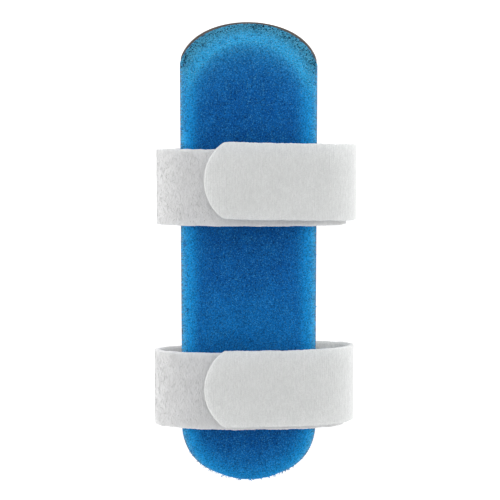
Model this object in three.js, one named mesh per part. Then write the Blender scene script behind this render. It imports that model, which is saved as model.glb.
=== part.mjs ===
import * as THREE from "three";

// A finger splint lying on its back, in millimetres: an aluminium gutter lined with foam, with two
// hook-and-loop straps closed into empty rings.
// +X runs across the splint, +Y towards its hand end and +Z up out of the gutter.

// Clearance between pieces that touch.
const FIT_GAP = 0.3;

// Gutter: a thin sheet with rounded ends, rolled to an arc. It narrows a little towards the fingertip.
const SPLINT_LENGTH = 98.2;
const HAND_END_WIDTH = 28.9;
const TIP_NARROWING = 0.9;
const GUTTER_HALF_ANGLE = THREE.MathUtils.degToRad(55.4);
const SHEET_THICKNESS = 0.8;

// Rounded ends: how far the middle stands past the corners, and how full the curve is between them.
// The hand end is cut a little askew, so that its left corner stands further out than its right one.
const HAND_END = { rise: 8.2, fullness: 0.74 };
const TIP_END = { rise: 12.2, fullness: 0.62 };
const HAND_END_LEAN = 0.18;

// Foam lining: thick along the middle, squeezed thinner at its rims, and wider than the sheet.
const FOAM_THICKNESS = 4.5;
const FOAM_RIM_THICKNESS = 2.7;
const FOAM_SIDE_OVERHANG = 1.3;
const FOAM_TIP_OVERHANG = 0.8;
const FOAM_HAND_SETBACK = 0.35;
const FOAM_HAND_CORNER_SETBACK = 0.7;
const FOAM_HAND_FULLNESS = 0.8;

// Edges of the foam's upper face: a rounded shoulder along the sides and the tip, and a slanted cut
// at the hand end. The shares say how much of the thickness stands at the very edge.
const SIDE_SHOULDER = 1.8;
const TIP_SHOULDER = 2.8;
const HAND_BEVEL = 4.0;
const SHOULDER_WALL_SHARE = 0.4;
const BEVEL_TOE_SHARE = 0.12;

// Straps: two tapes each, lapped under the gutter's back and closed over the front.
const TAPE_WIDTH = 16;
const LOOP_TAPE_THICKNESS = 1.6;
const HOOK_TAPE_THICKNESS = 1.4;
const LAP_LENGTH = 7;
const LAP_CLEARANCE = 0.2;
const LEFT_REST_WIDTH = 10;
const STRAP_HEADROOM = 3.5;
const TAB_REACH = 8.9;
const TAB_TIP = { rise: 4.3, fullness: 0.8 };
const LOOP_END_SETBACK = 1.5;

// One row a strap, in shares. Its middle is a share of the splint's length, and its reach past the
// sheet's edge at each side a share of the splint's width. The hook tape sits off the loop tape, towards
// the hand end, by a share of the tape's width at its tab and another at its lapped root.
const STRAPS = [
  { name: "upper", middle: 0.1436, leftReach: 0.187, rightReach: 0.291, tabOffset: 0.1, rootOffset: 0.04 },
  { name: "lower", middle: -0.29, leftReach: 0.204, rightReach: 0.277, tabOffset: 0.044, rootOffset: 0.075 },
];

// Shape of a ring: where it is widest, as a share of its height, and how far its curves run on
// before they turn, as shares of the distance to the turn.
const WIDEST_SHARE = 0.4;
const FRONT_RUN_ON = 0.64;
const SIDE_RUN_ON = 0.62;
const UNDER_RUN_ON = 0.58;

// Fineness of the faceted surfaces.
const HALF_COLUMNS = 12;
const END_ROWS = 4;
const MIDDLE_ROWS = 6;
const TAPE_STEP = 1.2;
const TAB_TIP_STEPS = 8;

// Places that follow from the sizes.
const handHalfWidth = HAND_END_WIDTH / 2;
const gutterRadius = handHalfWidth / Math.sin(GUTTER_HALF_ANGLE);
const gutterUnderside = LOOP_TAPE_THICKNESS + FIT_GAP;
const gutterAxisHeight = gutterUnderside + gutterRadius;
const foamBaseRadius = gutterRadius - SHEET_THICKNESS - FIT_GAP;
const lowestY = -SPLINT_LENGTH / 2;
const highestY = SPLINT_LENGTH / 2;

const metalEnds = {
  hand: { apex: highestY, rise: HAND_END.rise, fullness: HAND_END.fullness },
  tip: { apex: lowestY + FOAM_TIP_OVERHANG, rise: TIP_END.rise, fullness: TIP_END.fullness },
};
const foamEnds = {
  hand: {
    apex: highestY - FOAM_HAND_SETBACK,
    rise: HAND_END.rise + FOAM_HAND_CORNER_SETBACK,
    fullness: FOAM_HAND_FULLNESS,
  },
  tip: { apex: lowestY, rise: TIP_END.rise, fullness: TIP_END.fullness },
};

// Height of a rounded end at a share of its half width, from 0 in the middle to 1 at the corner.
function endRise(end, share) {
  return end.rise * Math.max(0, 1 - share * share) ** end.fullness;
}

// The two ends of the lengthwise line at a share of the half width.
function lineEnds(ends, share) {
  return {
    hand: ends.hand.apex - ends.hand.rise + endRise(ends.hand, share) - HAND_END_LEAN * share,
    tip: ends.tip.apex + ends.tip.rise - endRise(ends.tip, share),
  };
}

// Half of the angle that the sheet spans at a place along the splint.
function sheetHalfAngle(y) {
  const towardsTip = (highestY - y) / SPLINT_LENGTH;
  return Math.asin((handHalfWidth - (TIP_NARROWING / 2) * towardsTip) / gutterRadius);
}

function foamHalfAngle(y) {
  return sheetHalfAngle(y) + FOAM_SIDE_OVERHANG / foamBaseRadius;
}

// A point of the gutter, from its angle off the middle line, its radius and its place along Y.
function rolled(angle, radius, y) {
  return new THREE.Vector3(
    radius * Math.sin(angle),
    y,
    gutterAxisHeight - radius * Math.cos(angle),
  );
}

// Shares of the half width from edge to edge, closer together towards the edges.
const columnShares = Array.from({ length: 2 * HALF_COLUMNS + 1 }, (_, i) =>
  Math.sin(((i - HALF_COLUMNS) / HALF_COLUMNS) * (Math.PI / 2)),
);

// A closed solid between an upper and a lower grid of points, both given as [column][row].
function solidBetween(upper, lower) {
  const columns = upper.length;
  const rows = upper[0].length;
  const points = [...upper.flat(), ...lower.flat()];
  const up = (c, r) => c * rows + r;
  const low = (c, r) => columns * rows + up(c, r);
  const faces = [];
  const quad = (a, b, c, d) => faces.push(a, b, c, a, c, d);
  for (let c = 0; c < columns - 1; c++) {
    for (let r = 0; r < rows - 1; r++) {
      quad(up(c, r), up(c + 1, r), up(c + 1, r + 1), up(c, r + 1));
      quad(low(c, r), low(c, r + 1), low(c + 1, r + 1), low(c + 1, r));
    }
    quad(low(c, 0), low(c + 1, 0), up(c + 1, 0), up(c, 0));
    quad(up(c, rows - 1), up(c + 1, rows - 1), low(c + 1, rows - 1), low(c, rows - 1));
  }
  for (let r = 0; r < rows - 1; r++) {
    quad(up(0, r), up(0, r + 1), low(0, r + 1), low(0, r));
    quad(low(columns - 1, r), low(columns - 1, r + 1), up(columns - 1, r + 1), up(columns - 1, r));
  }
  return facetedGeometry(points, faces);
}

function facetedGeometry(points, faces) {
  const geometry = new THREE.BufferGeometry().setFromPoints(points);
  geometry.setIndex(faces);
  const faceted = geometry.toNonIndexed();
  faceted.computeVertexNormals();
  return faceted;
}

function shellGeometry() {
  const face = (radius) =>
    columnShares.map((share) => {
      const ends = lineEnds(metalEnds, share);
      return [ends.tip, ends.hand].map((y) => rolled(share * sheetHalfAngle(y), radius, y));
    });
  return solidBetween(face(gutterRadius - SHEET_THICKNESS), face(gutterRadius));
}

// Share of the foam's thickness that stands at a distance inside a rounded shoulder's edge.
function shoulderShare(distance, width) {
  const inward = 1 - Math.min(distance / width, 1);
  return SHOULDER_WALL_SHARE + (1 - SHOULDER_WALL_SHARE) * Math.sqrt(1 - inward * inward);
}

function bevelShare(distance) {
  return BEVEL_TOE_SHARE + (1 - BEVEL_TOE_SHARE) * Math.min(distance / HAND_BEVEL, 1);
}

// Thickness of the foam at a share of its half width and a place along the splint.
function foamHeight(share, y) {
  const ends = lineEnds(foamEnds, share);
  const uncut = FOAM_THICKNESS - (FOAM_THICKNESS - FOAM_RIM_THICKNESS) * share * share;
  const fromSide = (1 - Math.abs(share)) * foamHalfAngle(y) * foamBaseRadius;
  return (
    uncut *
    Math.min(
      shoulderShare(fromSide, SIDE_SHOULDER),
      shoulderShare(y - ends.tip, TIP_SHOULDER),
      bevelShare(ends.hand - y),
    )
  );
}

// Places of the foam's rows along one lengthwise line: close together where the ends are shaped.
function foamRows(ends) {
  const tipSide = Array.from(
    { length: END_ROWS },
    (_, i) => ends.tip + TIP_SHOULDER * (1 - Math.cos((i / END_ROWS) * (Math.PI / 2))),
  );
  const handSide = Array.from(
    { length: END_ROWS },
    (_, i) => ends.hand - HAND_BEVEL * (1 - (i + 1) / END_ROWS),
  );
  const from = ends.tip + TIP_SHOULDER;
  const to = handSide[0];
  const middle = Array.from(
    { length: MIDDLE_ROWS },
    (_, i) => from + ((to - from) * i) / MIDDLE_ROWS,
  );
  return [...tipSide, ...middle, ...handSide];
}

const foamUpperFace = columnShares.map((share) =>
  foamRows(lineEnds(foamEnds, share)).map((y) =>
    rolled(share * foamHalfAngle(y), foamBaseRadius - foamHeight(share, y), y),
  ),
);

function foamGeometry() {
  const lower = columnShares.map((share) =>
    foamRows(lineEnds(foamEnds, share)).map((y) =>
      rolled(share * foamHalfAngle(y), foamBaseRadius, y),
    ),
  );
  return solidBetween(foamUpperFace, lower);
}

// Heights of a ring's centre lines. The front run clears the foam's rims.
const foamRimTop = Math.max(...foamUpperFace.flat().map((point) => point.z));
const frontHeight = foamRimTop + STRAP_HEADROOM + LOOP_TAPE_THICKNESS / 2;
const restHeight = LOOP_TAPE_THICKNESS / 2;
const lapHeight = LOOP_TAPE_THICKNESS + FIT_GAP + HOOK_TAPE_THICKNESS / 2;
const widestHeight = restHeight + (frontHeight - restHeight) * WIDEST_SHARE;
const layerStep = LOOP_TAPE_THICKNESS / 2 + FIT_GAP + HOOK_TAPE_THICKNESS / 2;

// The hook tape's root starts where the gutter's rounded back leaves room above the loop tape.
const lapRise = HOOK_TAPE_THICKNESS + FIT_GAP + LAP_CLEARANCE;
const lapStart = Math.sqrt(2 * gutterRadius * lapRise - lapRise * lapRise);
const lapEnd = lapStart + LAP_LENGTH;

// A stretch of a base curve, from one share of its length to another, moved outwards by a distance.
class OffsetStretch extends THREE.Curve {
  constructor(base, from, to, outwards) {
    super();
    Object.assign(this, { base, from, to, outwards });
  }

  getPoint(t, target = new THREE.Vector2()) {
    const at = this.from + (this.to - this.from) * t;
    const normal = outwardNormal(this.base, at);
    return target.copy(this.base.getPoint(at)).addScaledVector(normal, this.outwards);
  }
}

// The rings are followed clockwise, so outwards lies to the left.
function outwardNormal(curve, at) {
  const tangent = curve.getTangent(at);
  return new THREE.Vector2(-tangent.y, tangent.x);
}

function curvePath(...curves) {
  const path = new THREE.CurvePath();
  curves.forEach((curve) => path.add(curve));
  return path;
}

// A quarter turn between a level point and an upright point.
function quarterTurn(from, to, fromIsLevel, levelRunOn, uprightRunOn) {
  const level = new THREE.Vector2(to.x - from.x, 0);
  const upright = new THREE.Vector2(0, to.y - from.y);
  const first = fromIsLevel ? level : upright;
  const last = fromIsLevel ? upright : level;
  const firstRunOn = fromIsLevel ? levelRunOn : uprightRunOn;
  const lastRunOn = fromIsLevel ? uprightRunOn : levelRunOn;
  return new THREE.CubicBezierCurve(
    from,
    from.clone().addScaledVector(first, firstRunOn),
    to.clone().addScaledVector(last, -lastRunOn),
    to,
  );
}

// Centre lines of a strap's two tapes, in the plane across the splint.
function strapLines(strap) {
  const crown = new THREE.Vector2(0, frontHeight);
  const leftWidest = new THREE.Vector2(
    -(handHalfWidth + strap.leftReach * HAND_END_WIDTH - LOOP_TAPE_THICKNESS / 2),
    widestHeight,
  );
  const rightReach = strap.rightReach * HAND_END_WIDTH;
  const hookRightX = handHalfWidth + rightReach - HOOK_TAPE_THICKNESS / 2;
  const rightWidest = new THREE.Vector2(hookRightX - layerStep, widestHeight);
  const front = curvePath(
    quarterTurn(leftWidest, crown, false, FRONT_RUN_ON, SIDE_RUN_ON),
    quarterTurn(crown, rightWidest, true, FRONT_RUN_ON, SIDE_RUN_ON),
  );
  const frontLength = front.getLength();
  const crownShare = front.getCurveLengths()[0] / frontLength;

  const loopLapEnd = new THREE.Vector2(lapEnd, restHeight);
  const restEnd = new THREE.Vector2(-LEFT_REST_WIDTH, restHeight);
  const loop = curvePath(
    new THREE.LineCurve(loopLapEnd, restEnd),
    quarterTurn(restEnd, leftWidest, true, UNDER_RUN_ON, UNDER_RUN_ON),
    new OffsetStretch(front, 0, 1 - LOOP_END_SETBACK / frontLength, 0),
  );

  const hookWidest = new THREE.Vector2(hookRightX, widestHeight);
  const hookLapEnd = new THREE.Vector2(lapEnd, lapHeight);
  const hook = curvePath(
    new OffsetStretch(front, crownShare - TAB_REACH / frontLength, 1, layerStep),
    quarterTurn(hookWidest, hookLapEnd, false, UNDER_RUN_ON, UNDER_RUN_ON),
    new THREE.LineCurve(hookLapEnd, new THREE.Vector2(lapStart, lapHeight)),
  );
  return { loop, hook };
}

// Distances along a tape's centre line: evenly spaced where it bends, and the ends of a straight run.
function distancesAlong(line) {
  const distances = [0];
  let start = 0;
  for (const curve of line.curves) {
    const length = curve.getLength();
    const steps = curve.isLineCurve ? 1 : Math.ceil(length / TAPE_STEP);
    for (let i = 1; i <= steps; i++) distances.push(start + (length * i) / steps);
    start += length;
  }
  return distances;
}

// Stations of a plain tape: its full width from end to end.
function plainStations(line) {
  return distancesAlong(line).map((distance) => ({ distance, widthShare: 1 }));
}

// Stations of a tape whose first end is a rounded tab.
function tabStations(line) {
  const tip = Array.from({ length: TAB_TIP_STEPS }, (_, i) => {
    const widthShare = Math.sin(((i + 1) / TAB_TIP_STEPS) * (Math.PI / 2));
    return { distance: TAB_TIP.rise - endRise(TAB_TIP, widthShare), widthShare };
  });
  return [...tip, ...plainStations(line).filter(({ distance }) => distance > TAB_TIP.rise)];
}

// Corners of a tape's cross-section in order: its edge towards -Y or +Y, and its inner or outer face.
const TAPE_CORNERS = [
  { edge: -1, face: 1 },
  { edge: 1, face: 1 },
  { edge: 1, face: -1 },
  { edge: -1, face: -1 },
];

// A flat tape along a centre line. Its middle lies at firstY where it starts and at lastY where it ends.
function tapeGeometry(line, stations, thickness, firstY, lastY) {
  const length = line.getLength();
  const points = [];
  const faces = [];
  const corners = TAPE_CORNERS.length;
  for (const { distance, widthShare } of stations) {
    const at = distance / length;
    const centre = line.getPoint(at);
    const normal = outwardNormal(line, at);
    const middle = THREE.MathUtils.lerp(firstY, lastY, at);
    const halfWidth = (TAPE_WIDTH / 2) * widthShare;
    for (const { edge, face } of TAPE_CORNERS) {
      const place = centre.clone().addScaledVector(normal, (face * thickness) / 2);
      points.push(new THREE.Vector3(place.x, middle + edge * halfWidth, place.y));
    }
  }
  for (let s = 0; s < stations.length - 1; s++) {
    for (let c = 0; c < corners; c++) {
      const next = (c + 1) % corners;
      const here = s * corners;
      const there = here + corners;
      faces.push(here + c, there + c, there + next, here + c, there + next, here + next);
    }
  }
  const last = (stations.length - 1) * corners;
  faces.push(0, 1, 2, 0, 2, 3);
  faces.push(last, last + 2, last + 1, last, last + 3, last + 2);
  return facetedGeometry(points, faces);
}

const aluminium = new THREE.MeshStandardMaterial({ color: 0xb4b6b8, roughness: 0.42, metalness: 1 });
const foam = new THREE.MeshStandardMaterial({ color: 0x1866a8, roughness: 0.95, metalness: 0 });
const loopTape = new THREE.MeshStandardMaterial({ color: 0xc9c9c9, roughness: 0.95, metalness: 0 });
const hookTape = new THREE.MeshStandardMaterial({ color: 0xd4d5d4, roughness: 0.75, metalness: 0 });

function namedMesh(name, geometry, material) {
  const mesh = new THREE.Mesh(geometry, material);
  mesh.name = name;
  return mesh;
}

function strapMeshes(strap) {
  const { loop, hook } = strapLines(strap);
  const middle = strap.middle * SPLINT_LENGTH;
  const tabMiddle = middle + strap.tabOffset * TAPE_WIDTH;
  const rootMiddle = middle + strap.rootOffset * TAPE_WIDTH;
  const loopStations = plainStations(loop);
  const hookStations = tabStations(hook);
  const loopGeometry = tapeGeometry(loop, loopStations, LOOP_TAPE_THICKNESS, middle, middle);
  const hookGeometry = tapeGeometry(hook, hookStations, HOOK_TAPE_THICKNESS, tabMiddle, rootMiddle);
  return [
    namedMesh(strap.name + "_loop_strap", loopGeometry, loopTape.clone()),
    namedMesh(strap.name + "_hook_strap", hookGeometry, hookTape.clone()),
  ];
}

const splint = new THREE.Group();
splint.name = "finger_splint";
splint.add(namedMesh("aluminium_shell", shellGeometry(), aluminium));
splint.add(namedMesh("foam_pad", foamGeometry(), foam));
STRAPS.forEach((strap) => splint.add(...strapMeshes(strap)));

// The frame's origin is under the middle of the whole object, so the splint sits off it by half of
// the difference between the straps' reaches.
const leftmost = Math.max(...STRAPS.map((strap) => strap.leftReach));
const rightmost = Math.max(...STRAPS.map((strap) => strap.rightReach));
splint.position.x = ((leftmost - rightmost) * HAND_END_WIDTH) / 2;

export default splint;
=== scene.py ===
import math

import bpy
import numpy as np
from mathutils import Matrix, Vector, kdtree, noise


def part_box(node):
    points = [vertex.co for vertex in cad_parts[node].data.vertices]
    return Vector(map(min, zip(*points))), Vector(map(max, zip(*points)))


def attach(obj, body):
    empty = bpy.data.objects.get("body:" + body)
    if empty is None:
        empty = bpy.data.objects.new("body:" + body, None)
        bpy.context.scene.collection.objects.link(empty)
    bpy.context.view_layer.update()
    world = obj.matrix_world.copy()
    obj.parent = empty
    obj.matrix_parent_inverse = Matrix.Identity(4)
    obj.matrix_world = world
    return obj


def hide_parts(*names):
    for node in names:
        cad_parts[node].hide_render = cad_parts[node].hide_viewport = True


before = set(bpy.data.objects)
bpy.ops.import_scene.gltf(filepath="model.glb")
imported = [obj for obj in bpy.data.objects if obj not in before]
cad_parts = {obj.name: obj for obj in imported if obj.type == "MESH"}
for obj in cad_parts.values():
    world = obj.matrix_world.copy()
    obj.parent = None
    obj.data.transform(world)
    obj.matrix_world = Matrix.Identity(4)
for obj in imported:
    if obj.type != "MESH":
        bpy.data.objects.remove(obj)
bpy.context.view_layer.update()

# A finger splint on its back: a foam-lined aluminium gutter with two hook-and-loop straps closed into
# rings. Sizes are in millimetres, with +X across the splint, +Y to its hand end and +Z up.
MM = 0.001

# Camera, as the photograph was taken: a long lens almost straight above, leaning from the hand end.
CAMERA_PLACE = (-0.98, 26.09, 410.0)
CAMERA_LEAN = math.radians(-3.62)
CAMERA_LENS = 136.6
CAMERA_SENSOR = 36.0

# Studio, in metres: a glowing white table, an even sky and large soft lights.
FLOOR_REACH = 2.0
FLOOR_COLOR = (0.9, 0.9, 0.9, 1)
FLOOR_GLOW = 0.58
SKY_STRENGTH = 0.385
SOFTBOXES = [
    {"name": "left_light", "place": (-0.7, 0.05, 0.32), "size": (0.9, 0.5), "watts": 2.7},
    {"name": "right_light", "place": (0.7, 0.05, 0.32), "size": (0.9, 0.5), "watts": 2.45},
    {"name": "top_light", "place": (0.0, 0.05, 0.9), "size": (0.8, 0.8), "watts": 1.4},
    {"name": "hand_light", "place": (0.0, 0.7, 0.5), "size": (0.9, 0.5), "watts": 0.75},
]

# Gutter. Each end rises from its corners to its middle, and the hand end is a little longer on the left.
HAND_END_WIDTH = 28.9
TIP_NARROWING = 0.9
GUTTER_HALF_ANGLE = math.radians(55.4)
SHEET_THICKNESS = 0.8
HAND_END = {"rise": 8.2, "fullness": 0.74}
TIP_END = {"rise": 12.2, "fullness": 0.62}
HAND_END_LEAN = 0.18
SHEET_EDGE_ROUNDING = 0.3
SHEET_EDGE_SHARE = 0.35
SHEET_WEAR = (0.15, 0.9)
SHEET_COLUMNS = 72
SHEET_ROWS = 160
SHEET_COLUMN_CROWDING = 0.7
SHEET_ROW_CROWDING = 0.9

# Foam lining: thinner sides, rounded shoulders, and a slanted cut face at the hand end.
FOAM_THICKNESS = 4.5
FOAM_RIM_THICKNESS = 2.7
FOAM_SIDE_OVERHANG = 1.3
FOAM_HAND_CORNER_SETBACK = 0.7
FOAM_HAND_FULLNESS = 0.8
FOAM_CLEARANCE = 0.05
FOAM_TOE_SETBACK = 0.06
SIDE_SHOULDER = 1.8
TIP_SHOULDER = 2.8
SHOULDER_WALL_SHARE = 0.4
HAND_BEVEL = 4.0
BEVEL_TOE_SHARE = 0.12
BEVEL_RUN_ON = 1.4
BEVEL_BLEND = 0.05
FOAM_COLUMNS = 172
FOAM_ROWS = 488
FOAM_COLUMN_CROWDING = 0.6
FOAM_UNDERSIDE_STEP = 4
FOAM_WALL_ROWS = 4

# Relief of the foam's upper face: open cells, deeper ones on the cut face, and slow unevenness. A cell
# sinks between two distances from its wall, which are shares of its size.
CELL_SIZE = 0.62
CELL_DEPTH = 0.11
CELL_SLOPE = (0.04, 0.5)
CUT_CELL_SIZE = 0.85
CUT_CELL_DEPTH = 0.34
CUT_CELL_SLOPE = (0.05, 0.55)
CUT_RELIEF_FADE = (HAND_BEVEL - 0.7, HAND_BEVEL + 0.5)
CLOSED_PATCH_SHARE = 0.35
OPEN_PATCH_SIZE = 1.3
OPEN_PATCH_RANGE = (-0.1, 0.35)
UNEVEN_SIZE = 7.0
UNEVEN_DEPTH = 0.12

# Painted shade inside the cells: on the face, on the cut, and more in open patches near its toe.
CELL_SHADE = 0.25
CUT_CELL_SHADE = 0.12
TOE_CELL_SHADE = 0.5

# How far the foam's colours reach, from the edge or from the hand end: pale edges, partly a paler pressed
# edge and partly painted light where light comes through the thin foam, a painted highlight on the ridge
# above the cut face, the cut face and its toe, and painted light on the side walls.
SIDE_PALING = 1.6
TIP_PALING = 3.2
RIDGE_HIGHLIGHT_REACH = 2.4
CUT_COLOR_FADE = (0.4, 3.4)
TOE_FADE = (0.7, 2.3)
SIDE_LIGHT_FADE = (0.5, 3.0)
SIDE_LIGHT_TOP_SHARE = 0.2
SIDE_LIGHT_TOP_REACH = 0.1

# Painted light: a slightly paler stretch of foam around the lower strap, away from the upper strap's
# shade, which begins and ends over these places.
LIT_STRETCH_PALENESS = 0.3
LIT_STRETCH_START = (-2.0, -18.0)
LIT_STRETCH_END = (-36.0, -26.0)

# What the foam's underside and its walls take of these colours and of the painted light, the walls from
# the top down.
UNDERSIDE_PALENESS = 0.6
UNDERSIDE_BROWNING = 0.9
WALL_BROWNING = (0.0, 0.05, 0.35)
WALL_SIDE_LIGHT_SHARES = (0.4, 0.65, 1.0)

# Cut strands along the foam's side and tip edges. Each has four centre points, from its root in the foam
# to its tip outside, with their places as shares of its reach and how brown each is.
FIBRE_COUNT = 620
FIBRE_RADIUS = 0.08
FIBRE_REACH = (0.15, 0.7)
FIBRE_PLACES = [-1.5, 0.1, 0.6, 1.0]
FIBRE_BROWNING = [0.0, 0.1, 0.7, 1.0]
FIBRE_BROWN_RANGE = (0.1, 1.0)
FIBRE_SLANT = 0.7
FIBRE_ROOT_RANGE = (0.1, 1.3)
FIBRE_RISE = {"mean": 0.2, "spread": 0.5}
# Share of the painted side-wall light that the strands take.
FIBRE_SIDE_LIGHT_SHARE = 0.8
FIBRE_SEED = 5

# Straps.
TAPE_WIDTH = 16.0
LOOP_TAPE_THICKNESS = 1.6
HOOK_TAPE_THICKNESS = 1.4
FIT_GAP = 0.3
LAP_LENGTH = 7.0
LAP_CLEARANCE = 0.2
LEFT_REST_WIDTH = 10.0
TAB_REACH = 8.9
TAB_TIP = {"rise": 4.3, "fullness": 0.8}
LOOP_END_SETBACK = 1.5
WIDEST_SHARE = 0.4
FRONT_RUN_ON = 0.64
SIDE_RUN_ON = 0.62
UNDER_RUN_ON = 0.58
HOOK_OFFSETS = {"upper": {"tab": 1.6, "root": 0.64}, "lower": {"tab": 0.704, "root": 1.2}}
STRAP_SEEDS = {"upper": 11, "lower": 23}
CURVE_STEPS = 240

# Woven body of each tape, as heights off its middle, outer face first.
LOOP_BODY = (0.5, -0.8)
HOOK_BODY = (0.7, -0.25)
LOOP_BODY_STEP = 0.2
TAPE_ROWS = 56
TAPE_ROW_CROWDING = 0.75
INNER_FACE_STEP = 4
THIN_WALL_ROWS = 2

# Edges of the tapes, which are rounded, wander slowly and fray, with the cut line round each tab's end.
TAPE_EDGE_ROUNDING = 0.2
TAPE_EDGE_SHARE = 0.45
EDGE_WOBBLE = 0.14
EDGE_WOBBLE_SIZE = 2.2
EDGE_WOBBLE_POWER = 4
EDGE_FRAY = 0.08
EDGE_FRAY_SIZE = 0.42
EDGE_FRAY_POWER = 30
CUT_LINE_FADE = (0.03, 0.22)
CUT_LINE_END = (4.0, 5.5)

# Weave of the tapes' outer faces: slight unevenness on the loop tape, and ribs across the hook tape.
WEAVE_FADE = 0.3
LOOP_WEAVE_SIZE = 0.9
LOOP_WEAVE_DEPTH = 0.02
RIB_PITCH = 0.46
RIB_DEPTH = 0.03
RIB_STEP = 0.092
RIB_STRETCH = 0.3
RIB_DRIFT = 0.35
RIB_DRIFT_SIZE = 1.4
RIB_STRENGTH = 0.55
RIB_STRENGTH_CHANGE = 1.1
RIB_STRENGTH_SIZE = 0.8
TAB_TIP_PLACES = [0.01, 0.03, 0.06]

# Pile of the loop tape. Each loop has four points, as shares of its span and of its height.
PILE_LOOPS = 14500
PILE_RADIUS = 0.014
PILE_HEIGHT = (0.0, 0.045)
PILE_SPAN = (0.35, 0.85)
PILE_PLACES = [-0.5, -0.2, 0.2, 0.5]
PILE_LIFT = [-0.3, 1.0, 0.9, -0.3]
PILE_HEADING_SPREAD = 0.3
PILE_LEAN = 0.6
PILE_END_MARGIN = 0.1
PILE_EDGE_MARGIN = 0.2

# Hooks of the hook tape. Each has five points, by how far they reach along the tape and as shares of its
# height.
HOOK_PITCH = 0.72
HOOK_HEIGHT = 0.42
HOOK_RADIUS = 0.06
HOOK_REACH = [0.0, 0.02, 0.12, 0.26, 0.24]
HOOK_DROP = [-0.1, 0.6, 1.0, 0.95, 0.6]
HOOK_JITTER = 0.04
HOOK_END_MARGIN = 0.5
HOOK_EDGE_MARGIN = 0.7

# Every strand's sides, the upright share from which it takes its cross direction from X instead of Z, and
# how far pile and hooks stay above the floor.
STRAND_SIDES = 3
UPRIGHT_STRAND = 0.8
FLOOR_CLEARANCE = 0.02

# How far a noise is moved aside where it needs a pattern of its own.
PATCH_NOISE_SHIFT = 40.0
EDGE_NOISE_SHIFT = 10.0
FRAY_NOISE_SHIFT = 60.0
RIB_NOISE_SHIFT = 30.0

# What the tapes' finishes share: the sheen of their fibres, and the light that passes through them.
LOOP_SHEEN = {"Sheen_Weight": 1.0, "Sheen_Roughness": 0.4}
HOOK_SHEEN = {"Sheen_Weight": 0.35, "Sheen_Roughness": 0.3}
TAPE_GLOW = {"Subsurface_Weight": 0.8, "Subsurface_Radius": (1, 1, 1), "Subsurface_Scale": 2.0 * MM}


def box_mm(node):
    """Lowest and highest corners of a node's solid."""
    low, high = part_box(node)
    return low / MM, high / MM


shell_low, shell_high = box_mm("aluminium_shell")
foam_low, foam_high = box_mm("foam_pad")
centre_x = (shell_low.x + shell_high.x) / 2
half_width = HAND_END_WIDTH / 2
gutter_radius = half_width / math.sin(GUTTER_HALF_ANGLE)
axis_height = shell_low.z + gutter_radius
sheet_inner_radius = gutter_radius - SHEET_THICKNESS
foam_radius = sheet_inner_radius - FIT_GAP
splint_length = shell_high.y - foam_low.y

metal_ends = {
    "hand": {"apex": shell_high.y, **HAND_END},
    "tip": {"apex": shell_low.y, **TIP_END},
}
foam_ends = {
    "hand": {
        "apex": foam_high.y,
        "rise": HAND_END["rise"] + FOAM_HAND_CORNER_SETBACK,
        "fullness": FOAM_HAND_FULLNESS,
    },
    "tip": {"apex": foam_low.y, **TIP_END},
}


def end_rise(end, share):
    """Height of a rounded end at a share of its half width, from 0 in the middle to 1 at the corner."""
    return end["rise"] * np.maximum(0, 1 - share**2) ** end["fullness"]


def line_ends(ends, share):
    """Where a lengthwise line starts at the tip and ends at the hand end."""
    tip = ends["tip"]["apex"] + ends["tip"]["rise"] - end_rise(ends["tip"], share)
    hand = ends["hand"]["apex"] - ends["hand"]["rise"] + end_rise(ends["hand"], share)
    hand = hand - HAND_END_LEAN * share
    return tip, hand


def sheet_half_angle(y):
    """Angle of the sheet's side edge off the middle line, which narrows towards the tip."""
    towards_tip = (shell_high.y - y) / splint_length
    return np.arcsin((half_width - TIP_NARROWING / 2 * towards_tip) / gutter_radius)


def foam_half_angle(y):
    """Angle of the foam's side edge, which stands past the sheet's."""
    return sheet_half_angle(y) + FOAM_SIDE_OVERHANG / foam_radius


def rolled(angle, radius, y):
    """A point of the gutter, from its angle off the middle line, its radius and its place along Y."""
    x = centre_x + radius * np.sin(angle)
    z = axis_height - radius * np.cos(angle)
    return np.stack(np.broadcast_arrays(x, y, z), axis=-1)


def edge_shares(count, crowding):
    """Shares from -1 to 1, closer together near both ends as crowding goes from 0 to 1."""
    even = np.linspace(-1, 1, count + 1)
    return (1 - crowding) * even + crowding * np.sin(even * math.pi / 2)


def smooth_step(value, low, high):
    """0 at low and 1 at high, with a smooth rise between them."""
    t = np.clip((value - low) / (high - low), 0, 1)
    return t * t * (3 - 2 * t)


def smooth_min(a, b, width):
    """The smaller of two values, blended where they are nearly alike."""
    h = np.clip(0.5 + 0.5 * (b - a) / width, 0, 1)
    return b * (1 - h) + a * h - width * h * (1 - h)


def rounded_edge(from_edge, rounding, edge_share):
    """Share of the full height at a distance from an edge, which rises from edge_share in a round."""
    inward = 1 - np.minimum(from_edge / rounding, 1)
    return edge_share + (1 - edge_share) * np.sqrt(1 - inward**2)


def perlin(points, size):
    """Smooth noise from about -1 to 1 at each point, with features of that size."""
    flat = points.reshape(-1, 3) / size
    return np.array([noise.noise(Vector(p)) for p in flat]).reshape(points.shape[:-1])


def cell_walls(points, size):
    """How far each point is from the wall between two foam cells, 0 on the wall."""
    flat = points.reshape(-1, 3) / size
    found = [noise.voronoi(Vector(p))[0] for p in flat]
    return np.array([d[1] - d[0] for d in found]).reshape(points.shape[:-1])


def distance_to(outline, places):
    """Distance from each flat place to the nearest point of an outline, both as pairs."""
    tree = kdtree.KDTree(len(outline))
    for i, (a, b) in enumerate(outline):
        tree.insert((a, b, 0), i)
    tree.balance()
    flat = places.reshape(-1, 2)
    return np.array([tree.find((a, b, 0))[2] for a, b in flat]).reshape(places.shape[:-1])


def dense(outline, step=0.05):
    """The outline's points again, no further apart than step."""
    lengths = np.concatenate([[0], np.cumsum(np.linalg.norm(np.diff(outline, axis=0), axis=1))])
    at = np.arange(0, lengths[-1], step)
    return np.stack([np.interp(at, lengths, outline[:, i]) for i in range(2)], axis=1)


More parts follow.
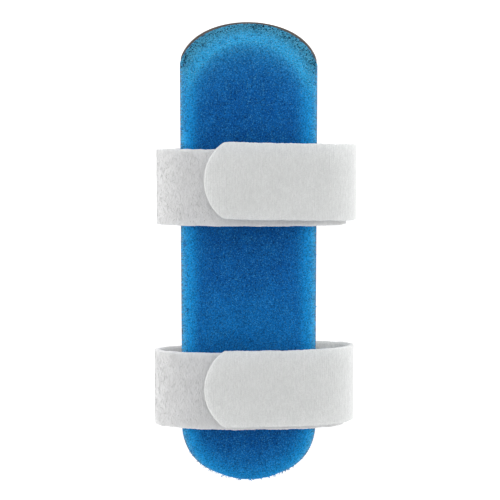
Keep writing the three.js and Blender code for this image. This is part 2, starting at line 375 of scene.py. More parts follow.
def border(columns, rows):
    """Grid places round the edge, in order."""
    return (
        [(c, 0) for c in range(columns)]
        + [(columns - 1, r) for r in range(1, rows)]
        + [(c, rows - 1) for c in range(columns - 2, -1, -1)]
        + [(0, r) for r in range(rows - 2, 0, -1)]
    )


def distance_from_border(flat):
    """Distance from each flat place of a grid to the grid's border."""
    closed = border(*flat.shape[:2]) + [(0, 0)]
    return distance_to(dense(flat[tuple(np.array(closed).T)]), flat)


def fine_faces(index):
    """Square faces between all the points of a grid."""
    quads = np.stack([index[:-1, :-1], index[1:, :-1], index[1:, 1:], index[:-1, 1:]], axis=-1)
    return quads.reshape(-1, 4).tolist()


def coarse_faces(index, step):
    """Underside faces several cells wide, which still take in every point of the grid's border."""
    columns, rows = index.shape
    faces = []
    for c in range(0, columns - 1, step):
        for r in range(0, rows - 1, step):
            c_end, r_end = c + step, r + step
            near = index[c : c_end + 1, r] if r == 0 else index[[c, c_end], r]
            right = index[c_end, r : r_end + 1] if c_end == columns - 1 else index[c_end, [r, r_end]]
            far = index[c : c_end + 1, r_end] if r_end == rows - 1 else index[[c, c_end], r_end]
            left = index[c, r : r_end + 1] if c == 0 else index[c, [r, r_end]]
            loop = [*near[:-1], *right[:-1], *far[:0:-1], *left[:0:-1]]
            faces.append([int(i) for i in reversed(loop)])
    return faces


def pillow(upper, lower, wall_rows, underside_step):
    """Points and faces of a closed body between two grids of points, with walls round its border."""
    columns, rows = upper.shape[:2]
    count = columns * rows
    top = np.arange(count).reshape(columns, rows)
    bottom = top + count
    around = tuple(np.array(border(columns, rows)).T)
    points = [upper.reshape(-1, 3), lower.reshape(-1, 3)]
    faces = fine_faces(top) + coarse_faces(bottom, underside_step)
    rings = [top[around]]
    for row in range(1, wall_rows):
        share = row / wall_rows
        points.append(upper[around] * (1 - share) + lower[around] * share)
        rings.append(2 * count + (row - 1) * len(around[0]) + np.arange(len(around[0])))
    rings.append(bottom[around])
    for a, b in zip(rings, rings[1:]):
        quads = np.stack([a, b, np.roll(b, -1), np.roll(a, -1)], axis=1)
        faces += quads.tolist()
    return np.concatenate(points), faces


def mesh_object(name, points, faces, material):
    """A smooth mesh object from points in millimetres."""
    mesh = bpy.data.meshes.new(name)
    mesh.from_pydata((points * MM).tolist(), [], faces)
    mesh.shade_smooth()
    mesh.materials.append(material)
    obj = bpy.data.objects.new(name, mesh)
    bpy.context.scene.collection.objects.link(obj)
    return obj


def set_attribute(mesh, name, values):
    """Give each point of a mesh its value, for the material to read."""
    made = mesh.attributes.new(name, "FLOAT", "POINT")
    made.data.foreach_set("value", values.astype(np.float32))


class Pillow:
    """A mesh object closed between two grids of points, without the points that no face uses."""

    def __init__(self, name, upper, lower, material, wall_rows, underside_step=1):
        points, faces = pillow(upper, lower, wall_rows, underside_step)
        self.used = np.zeros(len(points), bool)
        self.used[[i for face in faces for i in face]] = True
        renumbered = (np.cumsum(self.used) - 1).tolist()
        faces = [[renumbered[i] for i in face] for face in faces]
        self.obj = mesh_object(name, points[self.used], faces, material)
        self.mesh = self.obj.data
        self.shape = upper.shape[:2]
        self.around = tuple(np.array(border(*self.shape)).T)
        self.wall_rings = wall_rows - 1

    def everywhere(self, above, below, on_walls=None):
        """One value a point: the upper face's, the underside's, and the walls', or else the border's."""
        walls = [above[self.around]] * self.wall_rings
        if on_walls is not None:
            walls = [np.broadcast_to(value, len(self.around[0])) for value in on_walls]
        underside = np.broadcast_to(below, self.shape)
        return np.concatenate([above.ravel(), underside.ravel(), *walls])[self.used]

    def paint(self, name, above, below, on_walls=None):
        """Give every point its value, for the material to read."""
        set_attribute(self.mesh, name, self.everywhere(above, below, on_walls))


def coordinates(mesh):
    """A mesh's points in millimetres."""
    values = np.empty(len(mesh.vertices) * 3, np.float32)
    mesh.vertices.foreach_get("co", values)
    return values.reshape(-1, 3).astype(float) / MM


def normals(mesh):
    """The direction in which each point of a mesh faces."""
    values = np.empty(len(mesh.vertices) * 3, np.float32)
    mesh.vertices.foreach_get("normal", values)
    return values.reshape(-1, 3).astype(float)


def move_along_normals(mesh, distances):
    """Move each point of a mesh out by its distance in millimetres, or in if it is negative."""
    moved = coordinates(mesh) + normals(mesh) * distances[:, None]
    mesh.vertices.foreach_set("co", (moved * MM).astype(np.float32).ravel())
    mesh.update()


def strands(centres, radii):
    """Points and faces of thin closed strands, each along its own row of centre points."""
    count, steps = centres.shape[:2]
    along = np.gradient(centres, axis=1)
    along /= np.linalg.norm(along, axis=-1, keepdims=True)
    lies = np.abs(along[..., 2:3]) < UPRIGHT_STRAND
    helper = np.where(lies, [[[0.0, 0.0, 1.0]]], [[[1.0, 0.0, 0.0]]])
    side = np.cross(along, helper)
    side /= np.linalg.norm(side, axis=-1, keepdims=True)
    other = np.cross(along, side)
    turns = np.arange(STRAND_SIDES) * 2 * math.pi / STRAND_SIDES
    inner = slice(1, steps - 1)
    rings = centres[:, inner, None] + radii[:, inner, None, None] * (
        np.cos(turns)[:, None] * side[:, inner, None] + np.sin(turns)[:, None] * other[:, inner, None]
    )
    ring_points = rings.reshape(count, -1, 3)
    points = np.concatenate([centres[:, :1], ring_points, centres[:, -1:]], axis=1)
    each = points.shape[1]
    pattern = [(0, 1 + (i + 1) % STRAND_SIDES, 1 + i) for i in range(STRAND_SIDES)]
    for first in range(1, 1 + STRAND_SIDES * (steps - 3), STRAND_SIDES):
        after = first + STRAND_SIDES
        for i in range(STRAND_SIDES):
            j = (i + 1) % STRAND_SIDES
            pattern.append((first + i, first + j, after + j, after + i))
    last = each - 1 - STRAND_SIDES
    pattern += [(each - 1, last + i, last + (i + 1) % STRAND_SIDES) for i in range(STRAND_SIDES)]
    faces = [tuple(start + i for i in face) for start in range(0, count * each, each) for face in pattern]
    return points.reshape(-1, 3), faces


def linear(red, green, blue):
    """A colour's linear values from its 0 to 255 display values."""
    shares = [v / 255 for v in (red, green, blue)]
    return (*[s / 12.92 if s <= 0.04045 else ((s + 0.055) / 1.055) ** 2.4 for s in shares], 1.0)


class Finish:
    """A material and short ways to add nodes to it."""

    def __init__(self, name, **shader):
        self.material = bpy.data.materials.new(name)
        self.material.use_nodes = True
        self.tree = self.material.node_tree
        self.shader = self.tree.nodes["Principled BSDF"]
        for socket, value in shader.items():
            self.shader.inputs[socket.replace("_", " ")].default_value = value

    def node(self, kind, inputs, **settings):
        made = self.tree.nodes.new("ShaderNode" + kind)
        for key, value in settings.items():
            setattr(made, key, value)
        for key, value in inputs.items():
            self.feed(value, made.inputs[key])
        return made

    def feed(self, value, socket):
        if isinstance(value, bpy.types.NodeSocket):
            self.tree.links.new(value, socket)
        else:
            socket.default_value = value

    def attribute(self, name):
        return self.node("Attribute", {}, attribute_name=name).outputs["Fac"]

    def place(self, stretch=(1, 1, 1)):
        """Object coordinates in millimetres, stretched along each axis."""
        source = self.node("TexCoord", {}).outputs["Object"]
        scale = [s / MM for s in stretch]
        return self.node("Mapping", {"Vector": source, "Scale": scale}).outputs["Vector"]

    def noise(self, size, detail=2.0, stretch=(1, 1, 1)):
        inputs = {"Vector": self.place(stretch), "Scale": 1 / size, "Detail": detail}
        return self.node("TexNoise", inputs).outputs["Fac"]

    def spots(self, size, core, reach, chosen):
        """1 inside scattered round spots, in the share of cells of that size that chance picks."""
        cell = self.node("TexVoronoi", {"Vector": self.place(), "Scale": 1 / size})
        inside = self.spread(cell.outputs["Distance"], core, reach, 1.0, 0.0)
        picked = self.maths("LESS_THAN", cell.outputs["Color"], chosen)
        return self.maths("MULTIPLY", inside, picked)

    def spread(self, value, low, high, to_low=0.0, to_high=1.0):
        inputs = {0: value, 1: low, 2: high, 3: to_low, 4: to_high}
        return self.node("MapRange", inputs).outputs[0]

    def mix(self, factor, a, b, blend="MIX"):
        """Two colours mixed, through the sockets that a Mix node has for colours."""
        made = self.node("Mix", {}, data_type="RGBA", blend_type=blend)
        self.feed(factor, made.inputs[0])
        self.feed(a, made.inputs[6])
        self.feed(b, made.inputs[7])
        return made.outputs[2]

    def maths(self, operation, a, b):
        return self.node("Math", {0: a, 1: b}, operation=operation).outputs[0]

    def bump(self, height, distance, strength=1.0, normal=None):
        inputs = {"Height": height, "Distance": distance * MM, "Strength": strength}
        if normal is not None:
            inputs["Normal"] = normal
        return self.node("Bump", inputs).outputs["Normal"]

    def finish(self, color, roughness=None, normal=None):
        self.feed(color, self.shader.inputs["Base Color"])
        if roughness is not None:
            self.feed(roughness, self.shader.inputs["Roughness"])
        if normal is not None:
            self.feed(normal, self.shader.inputs["Normal"])
        return self.material


def foam_material():
    """Blue foam with pale flecks, painted shade in its pores, painted light, and brown cut strands."""
    made = Finish("blue_foam", Roughness=0.92, Specular_IOR_Level=0.04)
    cloud = made.spread(made.noise(3.2, 2.0), 0.35, 0.65)
    deep = made.mix(cloud, linear(15, 97, 177), linear(21, 110, 190))
    # Pale edges: partly a paler pressed edge of the foam, partly painted light where light comes through
    # it.
    rim = made.mix(made.attribute("rim"), deep, linear(30, 162, 242))
    # Painted highlight on the ridge above the cut face, which faces the light from the hand end.
    ridge_highlight = made.mix(made.attribute("ridge_highlight"), rim, linear(54, 174, 237))
    cut = made.mix(made.attribute("cut"), ridge_highlight, linear(68, 160, 203))
    # Painted light on the foam's side walls and on the strands.
    side = made.mix(made.attribute("side"), cut, linear(80, 196, 255))
    fringe = made.maths("MULTIPLY", made.attribute("fringe"), made.spread(made.noise(0.5, 1.0), 0.35, 0.6))
    fringed = made.mix(fringe, side, linear(132, 122, 118))
    dark = made.spread(made.noise(0.27, 1.0), 0.3, 0.55)
    dotted = made.mix(dark, linear(150, 150, 150), linear(255, 255, 255))
    speckled = made.mix(0.85, fringed, dotted, "MULTIPLY")
    fleck = made.spread(made.noise(0.23, 1.0), 0.55, 0.72, 0.0, 0.5)
    # Flecks are paler on the painted ridge highlight and on the cut face.
    pale = made.maths("MAXIMUM", made.attribute("ridge_highlight"), made.attribute("cut"))
    fleck_color = made.mix(pale, linear(86, 182, 238), linear(142, 212, 242))
    flecked = made.mix(fleck, speckled, fleck_color)
    # Painted shade in the pores: dark holes near the cut's toe, dark pricks on the cut, and the shade in
    # each cell.
    holes = made.maths("MULTIPLY", made.spots(0.46, 0.26, 0.46, 0.75), made.attribute("toe"))
    pricks = made.maths("MULTIPLY", made.spots(0.34, 0.2, 0.4, 0.5), made.attribute("cut"))
    small = made.maths("MULTIPLY", pricks, 0.8)
    pores = made.maths("MAXIMUM", made.maths("MAXIMUM", holes, small), made.attribute("pore_shade"))
    shaded = made.mix(pores, flecked, linear(3, 24, 42))
    return made.finish(shaded, normal=made.bump(made.noise(0.3, 2.0), 0.12, 0.7))


def aluminium_material():
    """Aluminium brushed along the splint, dull brown on its worn rim."""
    made = Finish("brushed_aluminium", Metallic=1.0)
    grain = made.noise(0.25, 3.0, (1.0, 0.03, 1.0))
    cloud = made.noise(9.0, 3.0)
    bright = made.mix(made.spread(cloud, 0.3, 0.7), linear(182, 183, 186), linear(205, 206, 208))
    worn = made.mix(made.attribute("edge"), bright, linear(98, 90, 84))
    roughness = made.spread(grain, 0.3, 0.7, 0.3, 0.48)
    return made.finish(worn, roughness, made.bump(grain, 0.02, 0.5))


def loop_tape_material():
    """Soft off-white knit with streaks and a few dark specks."""
    made = Finish("loop_tape", Roughness=0.9, **LOOP_SHEEN, **TAPE_GLOW)
    streaks = made.spread(made.noise(0.35, 2.0, (1.0, 0.3, 1.0)), 0.35, 0.65)
    cloud = made.spread(made.noise(4.0, 2.0), 0.3, 0.7)
    soft = made.mix(cloud, linear(225, 225, 225), linear(230, 230, 230))
    streaked = made.mix(streaks, linear(222, 222, 222), linear(255, 255, 255))
    color = made.mix(0.3, soft, streaked, "MULTIPLY")
    specks = made.maths("MULTIPLY", made.spots(1.8, 0.04, 0.08, 0.3), 0.6)
    specked = made.mix(specks, color, linear(120, 118, 116))
    return made.finish(specked, normal=made.bump(streaks, 0.05, 0.5))


def loop_pile_material():
    """Off-white fibre with slow changes of shade."""
    made = Finish("loop_pile", Roughness=0.9, **LOOP_SHEEN)
    cloud = made.spread(made.noise(0.9, 2.0), 0.3, 0.7)
    return made.finish(made.mix(cloud, linear(221, 221, 221), linear(228, 228, 228)))


def hook_tape_material():
    """White weave with threads across it, and a greyer line round the cut end of the tab."""
    made = Finish("hook_tape", Roughness=0.7, **HOOK_SHEEN, **TAPE_GLOW)
    threads = made.spread(made.noise(0.3, 2.0, (1.0, 0.25, 1.0)), 0.35, 0.65)
    grain = made.noise(0.22, 2.0)
    cloud = made.spread(made.noise(5.0, 2.0), 0.3, 0.7)
    soft = made.mix(cloud, linear(233, 235, 234), linear(238, 240, 239))
    threaded = made.mix(threads, linear(218, 218, 218), linear(255, 255, 255))
    color = made.mix(0.35, soft, threaded, "MULTIPLY")
    grained = made.mix(made.spread(grain, 0.3, 0.6, 0.5, 0.0), color, linear(205, 206, 206))
    edged = made.mix(made.attribute("cut_edge"), grained, linear(210, 212, 211))
    return made.finish(edged, normal=made.bump(grain, 0.05, 0.5, made.bump(threads, 0.04, 0.4)))


def aluminium_sheet(material):
    """The rolled sheet of the gutter."""
    share = edge_shares(SHEET_COLUMNS, SHEET_COLUMN_CROWDING)[:, None]
    step = (edge_shares(SHEET_ROWS, SHEET_ROW_CROWDING)[None, :] + 1) / 2
    tip, hand = line_ends(metal_ends, share)
    y = tip + (hand - tip) * step
    angle = share * sheet_half_angle(y)
    from_edge = distance_from_border(np.stack([angle * gutter_radius, y], axis=-1))
    thick = SHEET_THICKNESS * rounded_edge(from_edge, SHEET_EDGE_ROUNDING, SHEET_EDGE_SHARE)
    middle = gutter_radius - SHEET_THICKNESS / 2
    upper = rolled(angle, middle - thick / 2, y)
    lower = rolled(angle, middle + thick / 2, y)
    sheet = Pillow("aluminium_sheet", upper, lower, material, THIN_WALL_ROWS)
    worn = 1 - smooth_step(from_edge, *SHEET_WEAR)
    sheet.paint("edge", worn, worn, [1.0])
    return sheet.obj


def foam_lining(material):
    """The foam lining, and the line of its side and tip edges as flat places."""
    share = edge_shares(FOAM_COLUMNS, FOAM_COLUMN_CROWDING)[:, None]
    step = np.linspace(0, 1, FOAM_ROWS + 1)[None, :]
    tip, hand = line_ends(foam_ends, share)
    hand = hand - FOAM_TOE_SETBACK
    y = tip + (hand - tip) * step
    angle = share * foam_half_angle(y)
    flat = np.stack([angle * foam_radius, y], axis=-1)
    rim = dense(np.concatenate([flat[0, ::-1], flat[1:-1, 0], flat[-1]]))
    from_edge = distance_to(rim, flat)
    from_hand = hand - y

    towards_tip = smooth_step(y, foam_low.y + TIP_END["rise"], foam_low.y)
    shoulder = SIDE_SHOULDER + (TIP_SHOULDER - SIDE_SHOULDER) * towards_tip
    rounded = rounded_edge(from_edge, shoulder, SHOULDER_WALL_SHARE)
    bevel = BEVEL_TOE_SHARE + (1 - BEVEL_TOE_SHARE) * np.minimum(from_hand / HAND_BEVEL, BEVEL_RUN_ON)
    uncut = FOAM_THICKNESS - (FOAM_THICKNESS - FOAM_RIM_THICKNESS) * share**2
    height = uncut * smooth_min(rounded, bevel, BEVEL_BLEND)
    upper = rolled(angle, foam_radius - height, y)
    lower = rolled(angle, sheet_inner_radius - FOAM_CLEARANCE, y)
    lining = Pillow("foam_lining", upper, lower, material, FOAM_WALL_ROWS, FOAM_UNDERSIDE_STEP)
    foam_cells(lining, from_hand)
    foam_colours(lining, y, from_edge, from_hand, towards_tip)
    return lining.obj, rim


def foam_cells(lining, from_hand):
    """Press open cells and slow unevenness into the foam's upper face; note the painted shade in each
    cell.
    """
    on_top = lining.everywhere(np.ones(lining.shape), 0.0)
    cut = lining.everywhere(1 - smooth_step(from_hand, *CUT_RELIEF_FADE), 0.0)
    near_toe = lining.everywhere(1 - smooth_step(from_hand, *TOE_FADE), 0.0)
    here = coordinates(lining.mesh)
    slow = perlin(here, UNEVEN_SIZE)
    cells = smooth_step(cell_walls(here, CELL_SIZE), *CELL_SLOPE) * (1 - cut)
    cut_cells = smooth_step(cell_walls(here, CUT_CELL_SIZE), *CUT_CELL_SLOPE) * cut
    open_patches = smooth_step(perlin(here + PATCH_NOISE_SHIFT, OPEN_PATCH_SIZE), *OPEN_PATCH_RANGE)
    openness = CLOSED_PATCH_SHARE + (1 - CLOSED_PATCH_SHARE) * open_patches
    sunk = CELL_DEPTH * cells + CUT_CELL_DEPTH * cut_cells * openness
    move_along_normals(lining.mesh, on_top * (UNEVEN_DEPTH * slow - sunk))
    # Painted shade inside each cell.
    shade = CELL_SHADE * cells + cut_cells * (CUT_CELL_SHADE + TOE_CELL_SHADE * open_patches * near_toe)
    set_attribute(lining.mesh, "pore_shade", np.clip(shade * on_top, 0, 1))


def foam_colours(lining, y, from_edge, from_hand, towards_tip):
    """Note how far each of the foam's colours reaches over its faces and walls, the painted light among
    them.
    """
    # Pale edges: partly a paler pressed edge, partly painted light where light comes through the thin
    # foam.
    paling = SIDE_PALING + (TIP_PALING - SIDE_PALING) * towards_tip
    # Painted light on the stretch of foam around the lower strap.
    stretch = LIT_STRETCH_PALENESS * smooth_step(y, *LIT_STRETCH_START) * smooth_step(y, *LIT_STRETCH_END)
    lining.paint("rim", np.maximum(np.exp(-from_edge / paling), stretch), UNDERSIDE_PALENESS)
    # Painted highlight on the ridge above the cut face.
    lining.paint("ridge_highlight", np.exp(-np.maximum(from_hand - HAND_BEVEL, 0) / RIDGE_HIGHLIGHT_REACH), 0.0)
    lining.paint("cut", 1 - smooth_step(from_hand, *CUT_COLOR_FADE), 0.0)
    lining.paint("toe", 1 - smooth_step(from_hand, *TOE_FADE), 0.0)
    lining.paint("fringe", np.zeros(lining.shape), UNDERSIDE_BROWNING, WALL_BROWNING)
    # Painted light on the side walls, and on a thin band of the upper face next to them, away from the cut
    # face.
    uncut_side_light = smooth_step(from_hand, *SIDE_LIGHT_FADE)
    on_top = SIDE_LIGHT_TOP_SHARE * uncut_side_light * np.exp(-from_edge / SIDE_LIGHT_TOP_REACH)
    on_walls = [uncut_side_light[lining.around] * share for share in WALL_SIDE_LIGHT_SHARES]
    lining.paint("side", on_top, 0.0, on_walls)


def foam_fibres(rim, material, draw):
    """Cut strands that stand out of the lining's edges. The rim is followed with outwards on its right."""
    along = np.gradient(rim, axis=0)
    along /= np.linalg.norm(along, axis=1, keepdims=True)
    outward = np.stack([along[:, 1], -along[:, 0]], axis=1)
    chosen = draw.integers(0, len(rim), FIBRE_COUNT)
    reach = np.outer(draw.uniform(*FIBRE_REACH, FIBRE_COUNT), FIBRE_PLACES)
    slant = draw.normal(0, FIBRE_SLANT, FIBRE_COUNT)[:, None]
    heading = outward[chosen] + slant * along[chosen]
    flat = rim[chosen][:, None] + reach[..., None] * heading[:, None]
    depth_share = SHOULDER_WALL_SHARE * draw.uniform(*FIBRE_ROOT_RANGE, FIBRE_COUNT)
    root = FOAM_RIM_THICKNESS * depth_share[:, None]
    rising = draw.normal(FIBRE_RISE["mean"], FIBRE_RISE["spread"], FIBRE_COUNT)[:, None] * reach
    centres = rolled(flat[..., 0] / foam_radius, foam_radius - root - rising, flat[..., 1])
    points, faces = strands(centres, np.full(centres.shape[:2], FIBRE_RADIUS))
    obj = mesh_object("foam_fibres", points, faces, material)
    brown = draw.uniform(*FIBRE_BROWN_RANGE, FIBRE_COUNT)
    browning = np.repeat(FIBRE_BROWNING, [1, STRAND_SIDES, STRAND_SIDES, 1])
    set_attribute(obj.data, "fringe", np.outer(brown, browning).ravel())
    # The strands take most of the painted side-wall light.
    set_attribute(obj.data, "side", np.full(len(points), FIBRE_SIDE_LIGHT_SHARE))
    return obj


# Lines of the straps, in the plane across the splint, followed clockwise as seen along +Y.
class Line:
    """A smooth line through many points, measured by its length."""

    def __init__(self, points):
        steps = np.linalg.norm(np.diff(points, axis=0), axis=1)
        keep = np.concatenate([[True], steps > 1e-9])
        self.points = points[keep]
        steps = np.linalg.norm(np.diff(self.points, axis=0), axis=1)
        self.distances = np.concatenate([[0], np.cumsum(steps)])
        self.length = self.distances[-1]
        along = np.gradient(self.points, self.distances, axis=0)
        self.outward = np.stack([-along[:, 1], along[:, 0]], axis=1)

    def read(self, values, distance):
        """Pairs of values that belong to the line's points, read at distances along it."""
        return np.stack([np.interp(distance, self.distances, values[:, i]) for i in (0, 1)], axis=-1)

    def at(self, distance):
        """Places and outward directions at distances along the line."""
        outward = self.read(self.outward, distance)
        outward /= np.linalg.norm(outward, axis=-1, keepdims=True)
        return self.read(self.points, distance), outward

    def stretch(self, start, end, outwards=0.0):
        """Points of a part of the line, moved outwards."""
        places, outward = self.at(np.linspace(start, end, CURVE_STEPS + 1))
        return places + outward * outwards


def straight(start, end):
    """Points of a straight stretch."""
    return np.linspace(start, end, CURVE_STEPS + 1)


def quarter_turn(start, end, start_is_level, level_run_on, upright_run_on):
    """Points from a level place to an upright one, or the other way round."""
    start, end = np.array(start), np.array(end)
    level = np.array([end[0] - start[0], 0.0])
    upright = np.array([0.0, end[1] - start[1]])
    first, last = (level, upright) if start_is_level else (upright, level)
    first_run_on, last_run_on = (
        (level_run_on, upright_run_on) if start_is_level else (upright_run_on, level_run_on)
    )
    t = np.linspace(0, 1, CURVE_STEPS + 1)[:, None]
    handles = [start, start + first * first_run_on, end - last * last_run_on, end]
    weights = [(1 - t) ** 3, 3 * (1 - t) ** 2 * t, 3 * (1 - t) * t**2, t**3]
    return sum(weight * handle for weight, handle in zip(weights, handles))


def strap_lines(name):
    """Centre lines of a strap's loop tape and hook tape, worked out from their solids' boxes."""
    loop_low, loop_high = box_mm(name + "_loop_strap")
    hook_high = box_mm(name + "_hook_strap")[1]
    front_height = loop_high.z - LOOP_TAPE_THICKNESS / 2
    rest_height = LOOP_TAPE_THICKNESS / 2
    lap_height = LOOP_TAPE_THICKNESS + FIT_GAP + HOOK_TAPE_THICKNESS / 2
    widest_height = rest_height + (front_height - rest_height) * WIDEST_SHARE
    layer_step = LOOP_TAPE_THICKNESS / 2 + FIT_GAP + HOOK_TAPE_THICKNESS / 2
    lap_rise = HOOK_TAPE_THICKNESS + FIT_GAP + LAP_CLEARANCE
    lap_start = math.sqrt(2 * gutter_radius * lap_rise - lap_rise**2)
    lap_end = lap_start + LAP_LENGTH
    left_x = loop_low.x - centre_x + LOOP_TAPE_THICKNESS / 2
    hook_x = hook_high.x - centre_x - HOOK_TAPE_THICKNESS / 2

    left = (left_x, widest_height)
    crown = (0.0, front_height)
    right = (hook_x - layer_step, widest_height)
    rising = quarter_turn(left, crown, False, FRONT_RUN_ON, SIDE_RUN_ON)
    falling = quarter_turn(crown, right, True, FRONT_RUN_ON, SIDE_RUN_ON)
    front = Line(np.concatenate([rising, falling]))
    crown_at = Line(rising).length

    rest = (-LEFT_REST_WIDTH, rest_height)
    loop = Line(np.concatenate([
        straight((lap_end, rest_height), rest),
        quarter_turn(rest, left, True, UNDER_RUN_ON, UNDER_RUN_ON),
        front.stretch(0, front.length - LOOP_END_SETBACK),
    ]))
    hook = Line(np.concatenate([
        front.stretch(crown_at - TAB_REACH, front.length, layer_step),
        quarter_turn((hook_x, widest_height), (lap_end, lap_height), False, UNDER_RUN_ON, UNDER_RUN_ON),
        straight((lap_end, lap_height), (lap_start, lap_height)),
    ]))
    return loop, hook


def on_tape(line, distance, across, height, middle):
    """Points of a tape from their distance along it, place across it and height off its centre line."""
    places, outward = line.at(distance)
    spot = places + outward * np.asarray(height)[..., None]
    return np.stack(np.broadcast_arrays(centre_x + spot[..., 0], middle + across, spot[..., 1]), axis=-1)


def tape_body(name, line, distance, width_share, middle, heights, relief, material, seed):
    """A tape's woven body. relief gives how far its outer face stands out at each distance and place."""
    share = edge_shares(TAPE_ROWS, TAPE_ROW_CROWDING)[None, :]
    distance = distance[:, None]
    edge_side = np.sign(share)
    edge_places = np.stack(np.broadcast_arrays(distance, edge_side * EDGE_NOISE_SHIFT, seed), axis=-1)
    wobble = EDGE_WOBBLE * perlin(edge_places, EDGE_WOBBLE_SIZE) * share**EDGE_WOBBLE_POWER
    fray = EDGE_FRAY * perlin(edge_places + FRAY_NOISE_SHIFT, EDGE_FRAY_SIZE) * share**EDGE_FRAY_POWER
    across = TAPE_WIDTH / 2 * width_share[:, None] * share + (wobble + fray) * edge_side
    from_edge = distance_from_border(np.stack(np.broadcast_arrays(distance, across), axis=-1))
    outer, inner = heights
    mid = (outer + inner) / 2
    reach = (outer - inner) / 2 * rounded_edge(from_edge, TAPE_EDGE_ROUNDING, TAPE_EDGE_SHARE)
    raised = relief(distance, across) * smooth_step(from_edge, 0.0, WEAVE_FADE)
    upper = on_tape(line, distance, across, mid + reach + raised, middle)
    lower = on_tape(line, distance, across, mid - reach, middle)
    tape = Pillow(name, upper, lower, material, THIN_WALL_ROWS, INNER_FACE_STEP)
    near_edge = 1 - smooth_step(from_edge, *CUT_LINE_FADE)
    near_tip = 1 - smooth_step(distance, *CUT_LINE_END)
    cut_line = near_edge * near_tip
    tape.paint("cut_edge", cut_line, cut_line)
    return tape.obj


def steps_along(line, step):
    """How many steps of about that length a line takes, in whole steps of the coarser inner face."""
    return INNER_FACE_STEP * round(line.length / step / INNER_FACE_STEP)


def loop_tape(name, line, middle, material, seed):
    """The knitted body of a strap's loop tape."""
    distance = np.linspace(0, line.length, steps_along(line, LOOP_BODY_STEP) + 1)

    def weave(along, across):
        places = np.stack(np.broadcast_arrays(along, across, seed), axis=-1)
        return LOOP_WEAVE_DEPTH * perlin(places, LOOP_WEAVE_SIZE)

    name = name + "_loop_tape"
    full_width = np.ones(len(distance))
    return tape_body(name, line, distance, full_width, middle, LOOP_BODY, weave, material, seed)


def tab_share(distance):
    """Share of the tape's width that stands at a distance from the tab's rounded end."""
    left = np.clip(1 - distance / TAB_TIP["rise"], 0, 1)
    return np.sqrt(1 - left ** (1 / TAB_TIP["fullness"]))


def hook_tape(name, line, middle, material, seed):
    """The ribbed body of a strap's hook tape. middle gives the place of its middle line at a distance."""
    even = np.linspace(RIB_STEP, line.length, steps_along(line, RIB_STEP) + 1 - len(TAB_TIP_PLACES))
    distance = np.concatenate([TAB_TIP_PLACES, even])

    def ribs(along, across):
        places = np.stack(np.broadcast_arrays(along, across * RIB_STRETCH, seed), axis=-1)
        drift = perlin(places, RIB_DRIFT_SIZE)
        change = perlin(places + RIB_NOISE_SHIFT, RIB_STRENGTH_SIZE)
        strength = RIB_STRENGTH + RIB_STRENGTH_CHANGE * change
        return RIB_DEPTH * strength * np.cos(2 * math.pi * (along / RIB_PITCH + RIB_DRIFT * drift))

    name = name + "_hook_tape"
    middles = middle(distance[:, None])
    return tape_body(name, line, distance, tab_share(distance), middles, HOOK_BODY, ribs, material, seed)


def lifted(centres, radius):
    """The same centre points, none of them so low that its strand meets the floor."""
    centres[..., 2] = np.maximum(centres[..., 2], radius + FLOOR_CLEARANCE)
    return centres


def pile(name, line, middle, material, draw):
    """Brushed loops on the loop tape's outer face, leaning along the splint more than across it."""
    along = draw.uniform(PILE_END_MARGIN, line.length - PILE_END_MARGIN, PILE_LOOPS)
    across = draw.uniform(-1, 1, PILE_LOOPS) * (TAPE_WIDTH / 2 - PILE_EDGE_MARGIN)
    heading = draw.normal(math.pi / 2, PILE_HEADING_SPREAD, PILE_LOOPS)[:, None]
    span = draw.uniform(*PILE_SPAN, PILE_LOOPS)
    tall = draw.uniform(*PILE_HEIGHT, PILE_LOOPS)
    lean = draw.normal(0, PILE_LEAN, PILE_LOOPS)
    run = np.outer(span, PILE_PLACES)
    sideways = np.outer(lean * tall, np.clip(PILE_LIFT, 0, None))
    at = along[:, None] + run * np.cos(heading) - sideways * np.sin(heading)
    over = across[:, None] + run * np.sin(heading) + sideways * np.cos(heading)
    height = LOOP_BODY[0] + np.outer(tall, PILE_LIFT)
    centres = lifted(on_tape(line, np.clip(at, 0, line.length), over, height, middle), PILE_RADIUS)
    points, faces = strands(centres, np.full(centres.shape[:2], PILE_RADIUS))
    return mesh_object(name + "_loop_pile", points, faces, material)


def hooks(name, line, middle, material, draw):
    """Rows of small hooks on the hook tape's inner face, bent forwards and backwards in turn."""
    along = np.arange(TAB_TIP["rise"], line.length - HOOK_END_MARGIN, HOOK_PITCH)
    outermost = TAPE_WIDTH / 2 - HOOK_EDGE_MARGIN
    across = np.arange(-outermost, outermost, HOOK_PITCH)
    at, over = (values.reshape(-1, 1) for values in np.meshgrid(along, across, indexing="ij"))
    odd_row = np.repeat(np.arange(len(along)) % 2, len(across))[:, None]
    over = over + (odd_row - 0.5) * HOOK_PITCH / 2 + draw.normal(0, HOOK_JITTER, len(at))[:, None]
    reach = np.where(odd_row, -1.0, 1.0) * HOOK_REACH
    height = HOOK_BODY[1] - np.array(HOOK_DROP) * HOOK_HEIGHT
    centres = lifted(on_tape(line, at + reach, over, height, middle(at)), HOOK_RADIUS)
    points, faces = strands(centres, np.full(centres.shape[:2], HOOK_RADIUS))
    return mesh_object(name + "_hooks", points, faces, material)


def strap(name, loop_finish, pile_finish, hook_finish, seed):
    """All the pieces of one strap."""
    draw = np.random.default_rng(seed)
    loop, hook = strap_lines(name)
    loop_low, loop_high = box_mm(name + "_loop_strap")
    middle = (loop_low.y + loop_high.y) / 2
    tab, root = HOOK_OFFSETS[name]["tab"], HOOK_OFFSETS[name]["root"]

    def hook_middle(at):
        """Place of the hook tape's middle line, which runs slightly askew."""
        return middle + tab + (root - tab) * at / hook.length

    made = loop_tape(name, loop, middle, loop_finish, seed)
    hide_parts(name + "_loop_strap")
    fuzz = pile(name, loop, middle, pile_finish, draw)
    back = hook_tape(name, hook, hook_middle, hook_finish, seed)
    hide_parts(name + "_hook_strap")
    small = hooks(name, hook, hook_middle, hook_finish, draw)
    slots = [(made, "loop_tape"), (fuzz, "loop_tape"), (back, "hook_tape"), (small, "hook_tape")]
    for piece, slot in slots:
        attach(piece, "root")


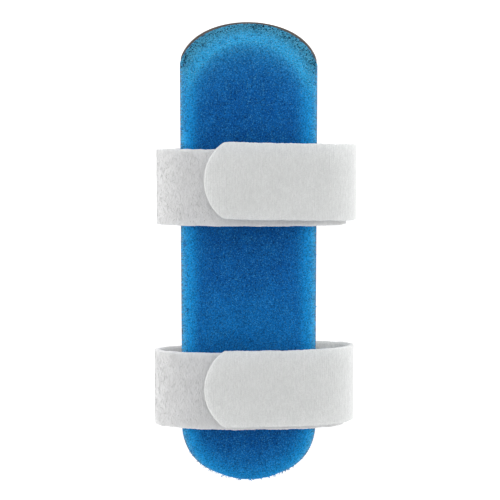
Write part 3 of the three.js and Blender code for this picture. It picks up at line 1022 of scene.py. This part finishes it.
def camera():
    """The camera of the photograph."""
    data = bpy.data.cameras.new("camera")
    data.lens = CAMERA_LENS
    data.sensor_width = CAMERA_SENSOR
    obj = bpy.data.objects.new("camera", data)
    obj.location = [v * MM for v in CAMERA_PLACE]
    obj.rotation_euler = (CAMERA_LEAN, 0, 0)
    bpy.context.scene.collection.objects.link(obj)
    bpy.context.scene.camera = obj


def floor():
    """The glowing table that the splint lies on."""
    mesh = bpy.data.meshes.new("floor")
    corners = [(x * FLOOR_REACH, y * FLOOR_REACH, 0) for x, y in ((-1, -1), (1, -1), (1, 1), (-1, 1))]
    mesh.from_pydata(corners, [], [(0, 1, 2, 3)])
    made = Finish("floor", Roughness=0.9, Emission_Color=(1, 1, 1, 1), Emission_Strength=FLOOR_GLOW)
    mesh.materials.append(made.finish(FLOOR_COLOR))
    obj = bpy.data.objects.new("floor", mesh)
    bpy.context.scene.collection.objects.link(obj)


def softbox(name, place, size, watts):
    """A large light in metres that shines on the object."""
    data = bpy.data.lights.new(name, "AREA")
    data.shape = "RECTANGLE"
    data.size, data.size_y = size
    data.energy = watts
    obj = bpy.data.objects.new(name, data)
    obj.location = place
    obj.rotation_euler = (-Vector(place)).to_track_quat("-Z", "Y").to_euler()
    obj.visible_camera = False
    bpy.context.scene.collection.objects.link(obj)


def light():
    """The sky and the softboxes."""
    world = bpy.data.worlds.new("studio")
    world.use_nodes = True
    background = world.node_tree.nodes["Background"]
    background.inputs["Color"].default_value = (1, 1, 1, 1)
    background.inputs["Strength"].default_value = SKY_STRENGTH
    bpy.context.scene.world = world
    for row in SOFTBOXES:
        softbox(**row)
    bpy.context.scene.view_settings.view_transform = "Standard"


camera()
floor()
light()

sheet = aluminium_sheet(aluminium_material())
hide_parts("aluminium_shell")
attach(sheet, "root")

foam_finish = foam_material()
lining, foam_rim = foam_lining(foam_finish)
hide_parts("foam_pad")
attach(lining, "root")

fibres = foam_fibres(foam_rim, foam_finish, np.random.default_rng(FIBRE_SEED))
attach(fibres, "root")

loop_finish = loop_tape_material()
pile_finish = loop_pile_material()
hook_finish = hook_tape_material()
for strap_name, strap_seed in STRAP_SEEDS.items():
    strap(strap_name, loop_finish, pile_finish, hook_finish, strap_seed)
